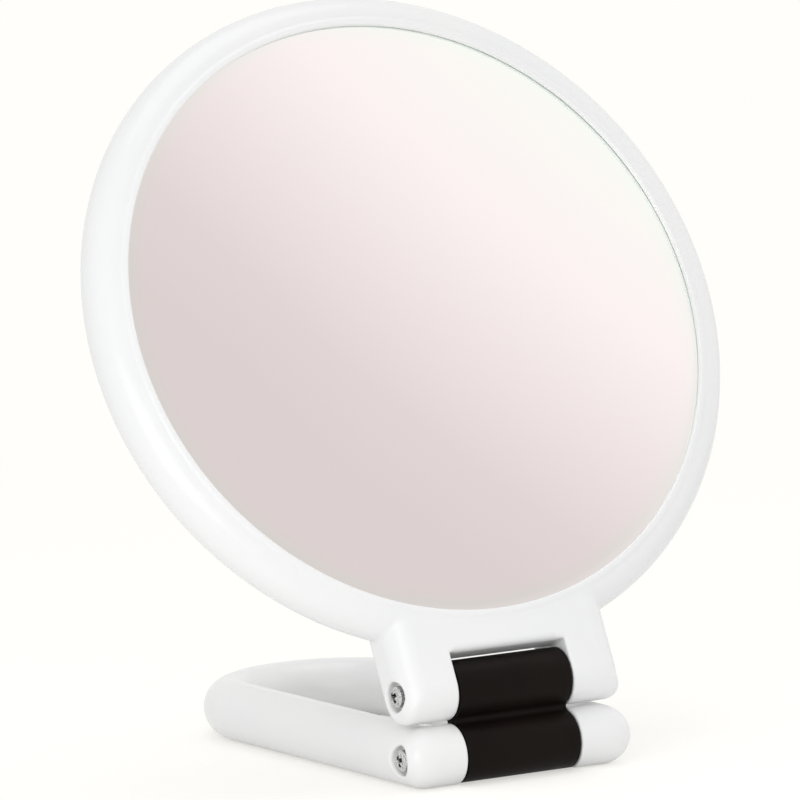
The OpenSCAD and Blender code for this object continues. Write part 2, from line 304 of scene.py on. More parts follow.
def skin(form, bend, u, v, w, closed=False):
    """Corners and quads of the surface where form is zero, in cells u by v by w that bend() sets in space.

    A closed skin runs round and meets itself along u.
    """
    corners = np.stack(bend(*np.meshgrid(u, v, w, indexing="ij")), -1)
    value = form(*np.moveaxis(corners, -1, 0))
    shape = value.shape
    total, count, quads = np.zeros((value.size, 3)), np.zeros(value.size), []
    for axis in range(3):
        side, other = (axis + 1) % 3, (axis + 2) % 3
        crossed = (value < 0) != (np.roll(value, -1, axis) < 0)
        if not (closed and axis == 0):
            crossed[(slice(None),) * axis + (-1,)] = False
        # Each cell edge that the surface crosses gives one quad, between the four cells around that edge.
        here = np.argwhere(crossed)
        there = here.copy()
        there[:, axis] = (there[:, axis] + 1) % shape[axis]
        here_at, there_at = tuple(here.T), tuple(there.T)
        part = (value[here_at] / (value[here_at] - value[there_at]))[:, None]
        meeting = corners[here_at] * (1 - part) + corners[there_at] * part
        ring = []
        for back_side, back_other in ((1, 1), (0, 1), (0, 0), (1, 0)):
            cell = here.copy()
            cell[:, side] -= back_side
            cell[:, other] -= back_other
            cell = np.ravel_multi_index((cell % shape).T, shape)
            np.add.at(total, cell, meeting)
            np.add.at(count, cell, 1)
            ring.append(cell)
        quad = np.stack(ring, 1)
        inward = value[here_at] > 0
        quad[inward] = quad[inward][:, ::-1]
        quads.append(quad)
    # A cell's corner is the mean of the crossings on its edges, and is then drawn towards its neighbours.
    used, quads = np.unique(np.concatenate(quads), return_inverse=True)
    quads = quads.reshape(-1, 4)
    points = slide_on(form, total[used] / count[used][:, None])
    edges = np.concatenate([quads[:, [i, (i + 1) % 4]] for i in range(4)])
    for _ in range(2):
        pull, links = np.zeros_like(points), np.zeros(len(points))
        for a, b in ((0, 1), (1, 0)):
            np.add.at(pull, edges[:, a], points[edges[:, b]])
            np.add.at(links, edges[:, a], 1)
        points = slide_on(form, points + 0.5 * (pull / links[:, None] - points))
    return points, quads


def steps(*stops):
    """Cell borders: steps(a, s, b, t, c) goes from a to b by about s at a time, then on to c by about t."""
    borders = [np.linspace(start, end, max(int(round(abs(end - start) / step)), 1), endpoint=False)
               for start, step, end in zip(stops[:-2:2], stops[1::2], stops[2::2])]
    return np.concatenate(borders + [np.array([stops[-1]])])


def half(points, quads, axis, side):
    """The part of a skin on one side of the middle plane across an axis, closed on that plane."""
    bm = bmesh.new()
    corners = [bm.verts.new(point) for point in points]
    for quad in quads:
        bm.faces.new([corners[i] for i in quad])
    normal = Vector((0, 0, 0))
    normal[axis] = -side
    cut = bmesh.ops.bisect_plane(bm, geom=bm.verts[:] + bm.edges[:] + bm.faces[:], dist=1e-5,
                                 plane_co=(0, 0, 0), plane_no=normal, clear_outer=True)
    rim = [element for element in cut["geom_cut"] if isinstance(element, bmesh.types.BMEdge)]
    bmesh.ops.triangle_fill(bm, edges=rim, use_beauty=True, normal=normal)
    bm.verts.index_update()
    return [vert.co[:] for vert in bm.verts], [[vert.index for vert in face.verts] for face in bm.faces]

# %% [markdown]
# ## The round frame, its lugs and the bridge
# Two white half frames clamp the glasses between them, and meet on the middle plane of the ring.
# In section, each bezel is half of a round bar that ends in a small rounded lip over the rim of its glass.
# Two lugs hang below the ring, one on either side of the black barrel.
# A bridge with a rounded lower edge joins them.
# The two halves could be drawn one by one, but the soft joints run through from front to back.
# So the whole frame is drawn once and cut in two. Only the front lip stands proud of its bezel.

# %% Sizes of the head, in millimetres
RING_HEIGHT = 83.0      # from the upper pivot to the middle of the glass
RING_RADIUS = 75.0
BEZEL = 6.4             # half the thickness of the ring
OPENING = 67.4          # the glass shows out to here
OPENING_DROP = 0.8      # the opening sits this much lower than the ring
LIP = 0.35              # rounding of the lip round the opening
LIP_HEIGHT = 0.3        # how far the front lip stands proud of the bezel
GLASS_FACE = 5.3        # from the middle plane to the face of each glass
GLASS_RADIUS = 69.6
GLASS_PLAY = 0.3        # between the rim of a glass and its pocket
POCKET_EDGE = 0.1       # rounding of the edge that the glass lies against
GAP = 0.1               # a dark line between each glass and its lip
LUG_INNER, LUG_OUTER = 13.9, 26.4      # from the middle to the two faces of a lug
LUG_HALF = 6.25         # half the thickness of a lug
YOKE_TOP = 40.0         # the lugs and the bridge end here, inside the ring
YOKE_JOINT = 0.6        # softness of the joint between the lugs and the ring
BRIDGE_FRONT, BRIDGE_REAR = 6.65, 7.65      # height of the bridge's underside, in front and behind
BRIDGE_EDGE_FRONT, BRIDGE_EDGE_REAR = 1.7, 4.0      # rounding of its lower edge
LUG_EDGE = 0.6          # rounding of the edges beside the barrel
SCREW_SEAT_UP = 24.3    # from the middle to the floor of a screw's recess
RECESS, RECESS_MOUTH = 3.2, 0.7      # radius of a recess, and rounding of its mouth
BUSH, BUSH_FLANGE, FLANGE_THICK = 2.9, 4.2, 1.0      # the hollow for a bush: radius, flange and its depth

low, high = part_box("front_frame")
print("the ring is drawn", 2 * RING_RADIUS, "mm across, and measures", round((high[0] - low[0]) / MM, 2))


def ring_form(out, from_lip, depth):
    """The section of both bezels, at a distance outside the crown of the ring and outside the opening's lip.

    Only the front lip stands proud. The rear one is flush, because the head folds on to the handle there.
    """
    face = BEZEL + np.where(depth < 0, LIP_HEIGHT, 0) * (1 - ease(from_lip, 0.9, 1.9))
    lip = round_cut(np.abs(depth) - face, -from_lip, LIP)
    return np.where(out > 0, np.hypot(np.maximum(out, 0), depth) - face, lip)


def pivot_holes(across, from_pivot, seat):
    """The recess of a screw, and behind it the hollow for its bush, which runs on into the recess."""
    recess = np.maximum(from_pivot - RECESS, seat - across)
    bush = np.maximum(from_pivot - BUSH, across - seat - 0.5)
    flange = np.maximum(from_pivot - BUSH_FLANGE, across - LUG_INNER - FLANGE_THICK)
    return recess, np.minimum(bush, flange)


def yoke_form(across, y, z):
    """Both lugs and the bridge. Outer edges are rounded by 5.4 in front, 3 behind and 2.5 at the low ends."""
    above_end = 1 - ease(-z, 1, 5.5)
    outer_edge = 2.5 + above_end * (2.9 - 2.4 * ease(y, -1.5, 2.5))
    slab = round_cut(np.hypot(y, np.minimum(z, 0)) - LUG_HALF, across - LUG_OUTER, outer_edge)
    underside = soft_join(round_cut(BRIDGE_FRONT - z, y + 0.1, 0.3), BRIDGE_REAR - z, 0.3)
    bridge_edge = np.where(y < 0, BRIDGE_EDGE_FRONT, BRIDGE_EDGE_REAR)
    inner_edge = LUG_EDGE + (bridge_edge - LUG_EDGE) * ease(LUG_INNER - across, 0.3, 2.0)
    return round_cut(slab, soft_join(LUG_INNER - across, underside, 0.5), inner_edge)


def head_form(x, y, z):
    """The whole frame, with its front at negative y."""
    across, radius = np.abs(x), np.hypot(x, z - RING_HEIGHT)
    crown = RING_RADIUS - BEZEL
    from_lip = np.hypot(x, z - RING_HEIGHT + OPENING_DROP) - OPENING
    outside_crown = np.maximum(z - YOKE_TOP, crown + YOKE_JOINT - radius)
    yoke = np.maximum(yoke_form(across, y, z), outside_crown)
    body = soft_join(ring_form(radius - crown, from_lip, y), yoke, YOKE_JOINT)
    recess, inside = pivot_holes(across, np.hypot(y, z), SCREW_SEAT_UP)
    body = np.maximum(round_cut(body, -recess, RECESS_MOUTH), -inside)
    pocket = np.maximum(radius - GLASS_RADIUS - GLASS_PLAY, np.abs(y) - GLASS_FACE - GAP)
    return round_cut(body, -pocket, POCKET_EDGE)


# %% The two half frames
def around_the_ring(turn, radius, depth):
    """A turn of 0 is at the lugs, below the middle of the ring."""
    return radius * np.sin(turn), depth, RING_HEIGHT - radius * np.cos(turn)


turns = np.radians(steps(-180, 0.9, -24, 0.25, 24, 0.9, 180))[:-1]      # finer at the lugs
radii = steps(66.3, 0.14, 68.4, 0.28, 70.6, 0.45, 76.2, 0.36, 94.4)     # finest at the lip
depths = steps(-7.1, 0.13, -5.0, 0.3, 5.0, 0.13, 7.1)                   # finest at both faces
head = skin(head_form, around_the_ring, turns, radii, depths, closed=True)
print("the head is skinned over", len(turns), "by", len(radii), "by", len(depths), "corners of cells")
for name, node, side in (("front_frame_moulding", "front_frame", -1),
                         ("rear_frame_moulding", "rear_frame", 1)):
    moulding = piece(name, *half(*head, axis=1, side=side), on_head)
    moulding.data.materials.append(white_plastic)
    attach(moulding, "mirror_head")
    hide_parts(node)

# %% [markdown]
# ## The loop handle
# The handle is a round bar bent to a U, with short arms at the front that hold the lower pivot.
# It is moulded as an upper and a lower shell. A narrow flat along the underside keeps it steady on a table.
# A bar swept along a curve would give the U, but not the flat, the arms' soft corners and the recesses,
# so it is drawn as a distance too. The cells run along one leg, round the end and back along the other leg,
# so that the long highlights stay straight.

# %% Sizes of the handle, in millimetres
BAR = 6.5               # radius of the bar
LEG = 21.1              # from the middle to the centre line of a leg
BEND = 83.1             # where the legs run into the half-round end
SQUARENESS = 2.8        # 2 would round the front corners off like a ball
INNER_CORNER = 2.5      # softness of the corner between an arm and its leg, on the inside
FOOT, FOOT_EDGE = 6.3, 0.15      # from the pivot down to the flat, and rounding of its edges
ARM_EDGE = 0.6          # rounding of the arms' inner edges and of the recesses' mouths
ARM_END = 30            # beyond here nothing is cut out for the pivot
SCREW_SEAT_DOWN = 25.0

low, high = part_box("handle_top_shell")
print("the loop is drawn", 2 * (LEG + BAR), "mm wide, and measures", round((high[0] - low[0]) / MM, 2))


def handle_form(x, y, z):
    """The whole loop bar, before it is split into shells."""
    across = np.abs(x)
    corner_x, corner_y = np.maximum(across - LEG, 0), np.maximum(-y, 0)
    outer_corner = (corner_x ** SQUARENESS + corner_y ** SQUARENESS) ** (1 / SQUARENESS)
    inner_corner = soft_join(y, LEG - across, INNER_CORNER)
    off_line = np.where((across < LEG) & (y > 0), inner_corner, outer_corner)
    off_line = np.where(y > BEND, np.hypot(x, y - BEND) - LEG, off_line)
    body = np.hypot(off_line, z) - BAR
    body = round_cut(body, np.where(y < ARM_END, LUG_INNER - across, -ARM_END), ARM_EDGE)
    body = round_cut(body, -FOOT - z, FOOT_EDGE)
    recess, inside = (np.where(y < ARM_END, hole, ARM_END)
                      for hole in pivot_holes(across, np.hypot(y, z), SCREW_SEAT_DOWN))
    return np.maximum(round_cut(body, -recess, ARM_EDGE), -inside)


# %% The two shells of the handle
def along_the_loop(run, out, height):
    """A run of 0 is level with the left pivot. It goes up the left leg, round the end and back."""
    end = BEND + math.pi * LEG
    turn = np.clip((run - BEND) / LEG, 0, math.pi)
    straight = np.minimum(run, BEND) + np.where(run > end, end - run, 0)
    radius = LEG + out
    return -radius * np.cos(turn), straight + radius * np.sin(turn), height


loop_end = 2 * BEND + math.pi * LEG
runs = steps(-7.2, 0.34, 10, 1.0, BEND, 0.7, loop_end - BEND, 1.0, loop_end - 10, 0.34, loop_end + 7.2)
loop = skin(handle_form, along_the_loop, runs, steps(-7.9, 0.38, 7.2), steps(-7.0, 0.36, 7.2))
print("the handle is skinned over", len(runs), "sections along the bar")
for name, node, side in (("handle_upper_moulding", "handle_top_shell", 1),
                         ("handle_lower_moulding", "handle_bottom_shell", -1)):
    shell = piece(name, *half(*loop, axis=2, side=side), on_handle)
    shell.data.materials.append(white_plastic)
    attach(shell, "handle")
    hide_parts(node)

# %% [markdown]
# ## The double barrel
# The black block holds both pivots: two barrels side by side, with a narrow waist, hollowed on both faces.
# Its outline is made of arcs only, so it needs no distances: two large arcs for the barrels
# and two small ones for the waist are drawn exactly. The end edges are rounded by drawing the outline again,
# each time a little smaller, and each end is closed round the two bores.
# Its plastic is darker and less polished than the white one, and a little rubbed.

# %% Black plastic
black_plastic, recipe, where = new_finish("satin black plastic")
cloud = recipe.noise(where, 60.0, 3.0)
grain = recipe.noise(where, 2600.0, 2.0, 0.6)
rubbed = recipe.spread(recipe.noise(where, 160.0, 4.0, 0.6), 0.5, 0.75)
black = recipe.mix(recipe.spread(cloud, 0.35, 0.65), rgb(0.006, 0.0042, 0.0036), rgb(0.0085, 0.0058, 0.0048))
finish("black plastic", black, 0.48 + 0.06 * grain - 0.08 * rubbed, bump=grain, bump_depth=0.00001,
       **{"Specular IOR Level": 0.07})

# %% The outline of the block
BARREL = 6.25           # radius of each barrel, in millimetres
WAIST_ARC = 1.0         # radius of the hollow between them
BLOCK_HALF = 13.6       # from the middle to each end
END_EDGE = 0.3          # rounding of the end edges
WASHER_SEAT, SEAT_RADIUS, BORE = 12.7, 4.4, 2.6      # the washers' seats at both ends, and the bore between


def block_outline(inset):
    """The side view, smaller by an inset: over the upper barrel, down one hollow, round the lower and up."""
    hollow_centre = math.sqrt((BARREL + WAIST_ARC) ** 2 - (pitch / 2) ** 2)
    reach = math.atan2(hollow_centre, pitch / 2)
    over = np.linspace(reach - math.pi, math.pi - reach, 97)
    turn = np.linspace(math.pi / 2 - reach, reach - math.pi / 2, 17)[1:-1]
    upper = np.stack([np.sin(over), np.cos(over)], 1) * (BARREL - inset) + (0, pitch)
    right = np.stack([hollow_centre - np.cos(turn) * (WAIST_ARC + inset),
                      pitch / 2 + np.sin(turn) * (WAIST_ARC + inset)], 1)
    lower = np.stack([np.sin(over[::-1]), -np.cos(over[::-1])], 1) * (BARREL - inset)
    return np.concatenate([upper, right, lower, (right * (-1, 1))[::-1]])


def loft(bm, sections):
    """Quads from one closed section to the next. A section is an x and its points in y and z."""
    rows = [[bm.verts.new((x, y, z)) for y, z in outline] for x, outline in sections]
    for row, after in zip(rows, rows[1:]):
        for i in range(len(row)):
            bm.faces.new((row[i - 1], row[i], after[i], after[i - 1]))


print("the outline of the block has", len(block_outline(0)), "points")

# %% The block
bend = np.linspace(0, math.pi / 2, 6)
left_edge = [(-BLOCK_HALF + END_EDGE * (1 - math.sin(a)), END_EDGE * (1 - math.cos(a))) for a in bend[::-1]]
outer = [(x, block_outline(inset)) for x, inset in left_edge + [(-x, inset) for x, inset in left_edge[::-1]]]
around = np.linspace(0, 2 * math.pi, 65)[:-1]
circle = np.stack([np.cos(around), np.sin(around)], 1)
left_bore = [(-BLOCK_HALF, SEAT_RADIUS), (-WASHER_SEAT, SEAT_RADIUS), (-WASHER_SEAT, BORE)]

bm = bmesh.new()
loft(bm, outer)
for height in (0, pitch):
    loft(bm, [(x, circle * radius + (0, height))
              for x, radius in left_bore + [(-x, radius) for x, radius in left_bore[::-1]]])
for x in (-BLOCK_HALF, BLOCK_HALF):
    rim = [edge for edge in bm.edges if edge.is_boundary and abs(edge.verts[0].co.x - x) < 1e-4]
    bmesh.ops.triangle_fill(bm, edges=rim, use_beauty=True)
bmesh.ops.recalc_face_normals(bm, faces=bm.faces)
block_mesh = bpy.data.meshes.new("double_barrel_block")
bm.to_mesh(block_mesh)
bm.free()
settle(block_mesh, on_block, 30)
block_mesh.materials.append(black_plastic)
block = show("double_barrel_block", block_mesh)
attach(block, "hinge_block")
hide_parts("hinge_block")

# %% [markdown]
# ## A rule for round pieces
# The two glasses and the four screw heads are round pieces with a face that is part of a sphere.
# The magnifying glass is hollow, the plain glass is flat, and a screw head is domed.
# Each could be turned from a section of its own, but one rule with named sizes makes them all.
# It starts from a flat grid, and turns its width into an angle and its height into a radius:
# out along the face, over the rim, and back to the middle along the underside.

# %% The tree for a round piece
def new_rule(name, **sizes):
    """A Geometry Nodes tree with named inputs, its recipe, and the inputs as flows."""
    tree = bpy.data.node_groups.new(name, "GeometryNodeTree")
    recipe = Recipe(tree)
    kinds = {int: "NodeSocketInt", float: "NodeSocketFloat"}
    for label, value in sizes.items():
        kind = kinds.get(type(value), "NodeSocketGeometry" if value == "points" else "NodeSocketMaterial")
        socket = tree.interface.new_socket(label, in_out="INPUT", socket_type=kind)
        if type(value) in kinds:
            socket.default_value = value
    tree.interface.new_socket("Geometry", in_out="OUTPUT", socket_type="NodeSocketGeometry")
    given = tree.nodes.new("NodeGroupInput")
    return tree, recipe, {label: Flow(recipe, given.outputs[label]) for label in sizes}


# The sizes of the magnifying glass, in metres. Its face is hollow out to FaceRadius, and its rim is flat.
# BackFollows is 1 where the underside runs along with the face, and 0 where it is flat.
GLASS = {"Radius": 0.0696, "FaceRadius": 0.0682, "Rise": -0.00355, "Thickness": 0.0018,
         "BackFollows": 1.0, "Turns": 160, "Rings": 40}
FACE_SHARE = 0.8        # this share of the rings lies on the face, the rest between the face and the rim

round_rule, recipe, given = new_rule("round piece", **GLASS)
rows = 2 * given["Rings"] + 1
grid = recipe.node("GeometryNodeMeshGrid", None, {"Size X": 1.0, "Size Y": 1.0,
                                                  "Vertices X": given["Turns"] + 1, "Vertices Y": rows + 1})
along_x, along_y, _ = recipe.parts(recipe.node("GeometryNodeInputPosition"))
row = (along_y + 0.5) * rows
share = row.least(rows - row) / given["Rings"]      # 0 in the middle of both sides, 1 at the rim
underside = row > given["Rings"] + 0.5
radius = ((share / FACE_SHARE).least(1.0) * given["FaceRadius"]
          + (share - FACE_SHARE).most(0.0) / (1 - FACE_SHARE) * (given["Radius"] - given["FaceRadius"]))
bowl = 1 - (radius.least(given["FaceRadius"]) / given["FaceRadius"]) ** 2.0
height = given["Rise"] * bowl * (1 - underside * (1 - given["BackFollows"])) - underside * given["Thickness"]
angle = (0.5 - along_x) * (2 * math.pi)      # clockwise, so that the faces point outwards
rounded = recipe.joined(radius * angle.math("COSINE", angle), radius * angle.math("SINE", angle), height)
moved = recipe.node("GeometryNodeSetPosition", None, {"Geometry": grid, "Position": rounded})
whole = recipe.node("GeometryNodeMergeByDistance", None, {"Geometry": moved, "Distance": 2e-6})
recipe.node("NodeGroupOutput", None, {0: whole})
print("rule for round pieces:", len(round_rule.nodes), "nodes")

# %% Growing a piece from a tree
def end_rule(recipe, geometry, material):
    """Ends a tree: instances become real, and the piece gets its material."""
    real = recipe.node("GeometryNodeRealizeInstances", None, {"Geometry": geometry})
    ready = recipe.node("GeometryNodeSetMaterial", None, {"Material": material, "Geometry": real})
    recipe.node("NodeGroupOutput", None, {0: ready})


def keep(recipe, geometry, label, value):
    """Stores a number at every point, for the finish to read."""
    return recipe.node("GeometryNodeStoreNamedAttribute", {"data_type": "FLOAT", "domain": "POINT"},
                       {"Geometry": geometry, "Name": label, "Value": value})


def grow(name, tree, place, points=(), turns=(), **sizes):
    """Runs a tree once and keeps the result as a plain mesh at the origin."""
    seed = bpy.data.meshes.new(name + " start")
    seed.from_pydata(points, [], [])
    seed.attributes.new("turn", "FLOAT", "POINT").data.foreach_set("value", turns)
    made = show(name, seed)
    run = made.modifiers.new("rule", "NODES")
    run.node_group = tree
    for item in tree.interface.items_tree:
        if item.in_out == "INPUT" and item.name in sizes:
            run[item.identifier] = sizes[item.name]
    graph = bpy.context.evaluated_depsgraph_get()
    mesh = bpy.data.meshes.new_from_object(made.evaluated_get(graph), preserve_all_data_layers=True,
                                           depsgraph=graph)
    made.modifiers.remove(run)
    made.data = mesh
    mesh.name = name
    settle(mesh, place, 32)
    return made

# %% [markdown]
# ## Silvered glass
# Both mirrors are clear glass with silver on the back. They show only the room, a little darker and cooler.
# Clear glass over a silver layer could be modelled as two surfaces. A smooth metal with a clear coat
# for the front of the glass looks the same and is quicker. The silver is faintly uneven,
# a greener band along its rim is a painted reflection, and a few wiped marks change the gloss by very little,
# which keeps the reflection from looking computed.

# %% Mirror glass
mirror_glass, recipe, where = new_finish("silvered glass")
veil = recipe.noise(where, 18.0, 2.0)
strokes = recipe.vector("MULTIPLY", where, (30.0, 30.0, 140.0))
wiped = recipe.spread(recipe.noise(strokes, 1.0, 4.0, 0.6), 0.55, 0.8)
silver = recipe.mix(recipe.spread(veil, 0.3, 0.7), rgb(0.976, 0.972, 0.972), rgb(0.966, 0.962, 0.963))
out = recipe.node("ShaderNodeAttribute", {"attribute_name": "out"}, output="Fac")
# A greener band over the last millimetres inside the lip is a painted reflection along the rim.
painted_rim_reflection = recipe.spread(out, 0.0633, 0.066)      # over the last millimetres inside the lip
silver = recipe.mix(painted_rim_reflection, silver, rgb(0.935, 0.98, 0.955))
finish("mirror glass", silver, 0.012 + 0.012 * wiped,
       **{"Metallic": 1.0, "Coat Weight": 0.35, "Coat Roughness": 0.01})

# %% The two glasses
glass_rule, recipe, given = new_rule("mirror glass", **GLASS, Finish=None)
glass = recipe.node("GeometryNodeGroup", {"node_tree": round_rule}, {label: given[label] for label in GLASS})
across, along, _ = recipe.parts(recipe.node("GeometryNodeInputPosition"))
glass = keep(recipe, glass, "out", (across * across + along * along) ** 0.5)      # distance from the middle
end_rule(recipe, glass, given["Finish"])

in_mm = Matrix.Scale(1 / MM, 4)
for name, node, facing, rise in (("magnifying_glass", "magnifying_mirror", 90, GLASS["Rise"]),
                                 ("plain_glass", "plain_mirror", -90, 0.0)):
    turned = Matrix.Translation((0, 0, RING_HEIGHT)) @ Matrix.Rotation(math.radians(facing), 4, "X")
    glass = grow(name, glass_rule, on_head @ turned @ Matrix.Translation((0, 0, GLASS_FACE)) @ in_mm,
                 Rise=rise, Finish=mirror_glass)
    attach(glass, "mirror_head")
    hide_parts(node)

# %% [markdown]
# ## The pivot screws
# Four small bright screws hold the mirror together, one in a recess at each end of each pivot.
# Each has a low domed head with a cross recess. A cross in a bump map would be flat from the side,
# so it is cut out of the dome by two tapered bars.
# The same screw comes four times, so it is made once and placed on four points.
# Every point carries the turn that its screw was left at.

# %% Bright plated steel
bright_steel, recipe, where = new_finish("bright plated steel")
sunk = recipe.node("ShaderNodeAttribute", {"attribute_name": "sunk"}, output="Fac")
# The turning marks set the roughness and bump. In the colour, their streaks from dark to bright are a painted
# reflection in the plating.
turned_marks_and_painted_reflection = recipe.noise(recipe.vector("MULTIPLY", where, (900.0, 5200.0, 5200.0)), 1.0, 3.0, 0.6)
painted_reflection_streaks = recipe.mix(recipe.spread(turned_marks_and_painted_reflection, 0.4, 0.6), rgb(0.3, 0.3, 0.3), rgb(0.78, 0.78, 0.79))
# Down in the cross the plating is painted near-black: painted shade where the recess lies in shadow.
plating = recipe.mix(sunk, painted_reflection_streaks, rgb(0.05, 0.048, 0.046))      # dark down in the cross
finish("bright steel", plating, 0.1 + 0.08 * turned_marks_and_painted_reflection + 0.3 * sunk,
       bump=turned_marks_and_painted_reflection, bump_depth=0.000004, **{"Metallic": 1.0})

# %% The tree for the screws
screw_rule, recipe, given = new_rule(
    "pivot screws", Points="points", HeadRadius=0.00235, HeadEdge=0.0014, Dome=0.0009, CrossLength=0.0038,
    CrossWidth=0.00115, CrossDepth=0.0011, ShankRadius=0.00125, Shank=0.0178, Finish=None)
head = recipe.node("GeometryNodeGroup", {"node_tree": round_rule}, {
    "Radius": given["HeadRadius"], "FaceRadius": given["HeadRadius"], "Rise": given["Dome"],
    "Thickness": given["HeadEdge"], "BackFollows": 0.0, "Turns": 48, "Rings": 8})

# Two bars, which narrow towards the bottom of the cross.
bar = recipe.node("GeometryNodeMeshCube", None, {
    "Size": recipe.joined(given["CrossLength"], given["CrossWidth"], 2 * given["CrossDepth"])})
x, y, z = recipe.parts(recipe.node("GeometryNodeInputPosition"))
tapered = recipe.joined(x * (0.75 + 0.25 * z / given["CrossDepth"]),
                        y * (0.85 + 0.15 * z / given["CrossDepth"]), z + given["Dome"])
bar = recipe.node("GeometryNodeSetPosition", None, {"Geometry": bar, "Position": tapered})
crossing = recipe.node("GeometryNodeTransform", None, {"Geometry": bar, "Rotation": (0, 0, math.pi / 2)})
cut = recipe.node("GeometryNodeMeshBoolean", {"operation": "DIFFERENCE", "solver": "EXACT"},
                  {"Mesh 1": head, "Mesh 2": [bar, crossing]})
cut = recipe.node("GeometryNodeMergeByDistance", None, {"Geometry": cut, "Distance": 2e-5})

# How far a point of the cross lies below the dome, from 0 to 1, as the mask of the painted shade in the cross.
# The rim of the head doesn't count.
x, y, z = recipe.parts(recipe.node("GeometryNodeInputPosition"))
from_middle = (x * x + y * y) ** 0.5
below = given["Dome"] * (1 - (from_middle / given["HeadRadius"]) ** 2.0) - z
at_rim = from_middle > 0.85 * given["HeadRadius"]
cut = keep(recipe, cut, "sunk", recipe.spread(below / given["CrossDepth"], 0.05, 0.6) * (1 - at_rim))

shank = recipe.node("GeometryNodeMeshCylinder", None,
                    {"Vertices": 32, "Radius": given["ShankRadius"], "Depth": given["Shank"]})
shank = recipe.node("GeometryNodeTransform", None, {
    "Geometry": shank, "Translation": recipe.joined(z=(0 - given["HeadEdge"]) - 0.5 * given["Shank"])})
screw = recipe.node("GeometryNodeJoinGeometry", None, {0: [cut, shank]})

# Each screw points away from the middle, and is turned about its own axis.
sideways = recipe.parts(recipe.node("GeometryNodeInputPosition"))[0]
outward = recipe.node("FunctionNodeAlignRotationToVector", {"axis": "Z"}, {"Vector": recipe.joined(sideways)})
turn = recipe.node("GeometryNodeInputNamedAttribute", {"data_type": "FLOAT"}, {"Name": "turn"})
spin = recipe.node("FunctionNodeAxisAngleToRotation", None, {"Axis": (0, 0, 1), "Angle": turn})
aim = recipe.node("FunctionNodeRotateRotation", {"rotation_space": "LOCAL"}, {0: outward, 1: spin})
screws = recipe.node("GeometryNodeInstanceOnPoints", None,
                     {"Points": given["Points"], "Instance": screw, "Rotation": aim})
end_rule(recipe, screws, given["Finish"])
print("rule for screws:", len(screw_rule.nodes), "nodes")

# %% The four screws
SCREW_OUT_DOWN, SCREW_OUT_UP = 0.0265, 0.0258     # in metres, from the middle to the rim of each head's dome
seats = [tuple(pivot + Vector((side * out, 0, 0)))
         for pivot, out in ((lower_pivot, SCREW_OUT_DOWN), (upper_pivot, SCREW_OUT_UP)) for side in (-1, 1)]
screws = grow("pivot_screws", screw_rule, Matrix.Identity(4), seats,
              [math.radians(turn) for turn in (20, 65, 38, 5)], Finish=bright_steel)
rounding = screws.modifiers.new("rounded edges", "BEVEL")
rounding.width, rounding.segments, rounding.angle_limit = 0.00012, 2, math.radians(40)
joined = screws.modifiers.new("slivers joined", "WELD")
joined.merge_threshold = 0.00001
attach(screws, "hinge_block")
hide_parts("lower_screw_left", "lower_screw_right", "upper_screw_left", "upper_screw_right")

# %% [markdown]
# ## The parts inside
# Bushes, sleeves, washers, the core plate and the foam rings sit between the mouldings, and are plain turned
# or cut pieces. They could be made again like the rest, but their measured shapes are right as they are.
# They show only in the narrow gaps, or when the mirror is taken apart,
# and each still gets the finish of its own material.

# %% Finishes for the parts inside
bearing_plastic, recipe, where = new_finish("natural bearing plastic")
tone = recipe.mix(recipe.noise(where, 300.0, 3.0), rgb(0.82, 0.8, 0.75), rgb(0.86, 0.84, 0.79))
finish("bearing plastic", tone, 0.5 + 0.1 * recipe.noise(where, 2500.0),
       bump=recipe.noise(where, 3000.0), bump_depth=0.00001)

turned_steel, recipe, where = new_finish("turned steel")
lathe = recipe.noise(recipe.vector("MULTIPLY", where, (9000.0, 40.0, 40.0)), 1.0, 2.0)
tone = recipe.mix(lathe, rgb(0.5, 0.5, 0.52), rgb(0.64, 0.64, 0.66))
finish("turned steel", tone, 0.28 + 0.14 * lathe, bump=lathe, bump_depth=0.00001, **{"Metallic": 1.0})

washer_rubber, recipe, where = new_finish("washer rubber")
tone = recipe.mix(recipe.noise(where, 900.0, 4.0), rgb(0.02, 0.02, 0.02), rgb(0.045, 0.045, 0.045))
finish("washer rubber", tone, 0.75 + 0.1 * recipe.noise(where, 1800.0),
       bump=recipe.noise(where, 2600.0, 3.0), bump_depth=0.00003)

grey_sheet, recipe, where = new_finish("grey plastic sheet")
specks = recipe.spread(recipe.noise(where, 1400.0, 2.0), 0.55, 0.65)
tone = recipe.mix(specks, rgb(0.24, 0.24, 0.245), rgb(0.33, 0.33, 0.33))
finish("grey sheet", tone, 0.55 + 0.1 * specks, bump=recipe.noise(where, 800.0), bump_depth=0.00003)

cream_foam, recipe, where = new_finish("cream foam tape")
cells = recipe.node("ShaderNodeTexVoronoi", None, {"Vector": where, "Scale": 1600.0})
tone = recipe.mix(recipe.spread(cells, 0.1, 0.6), rgb(0.48, 0.44, 0.34), rgb(0.72, 0.69, 0.58))
finish("foam", tone, 0.9 - 0.1 * cells, bump=cells, bump_depth=0.0001)

# %% Put them on the measured parts
for word, inside_finish in (("bush", bearing_plastic), ("sleeve", turned_steel), ("washer", washer_rubber),
                            ("core_plate", grey_sheet), ("foam_pad", cream_foam)):
    inside_parts = [part for name, part in frame["nodes"].items() if word in name]
    for part in inside_parts:
        part.data.materials.clear()
        part.data.materials.append(inside_finish)
    print(len(inside_parts), "measured parts in", inside_finish.name)

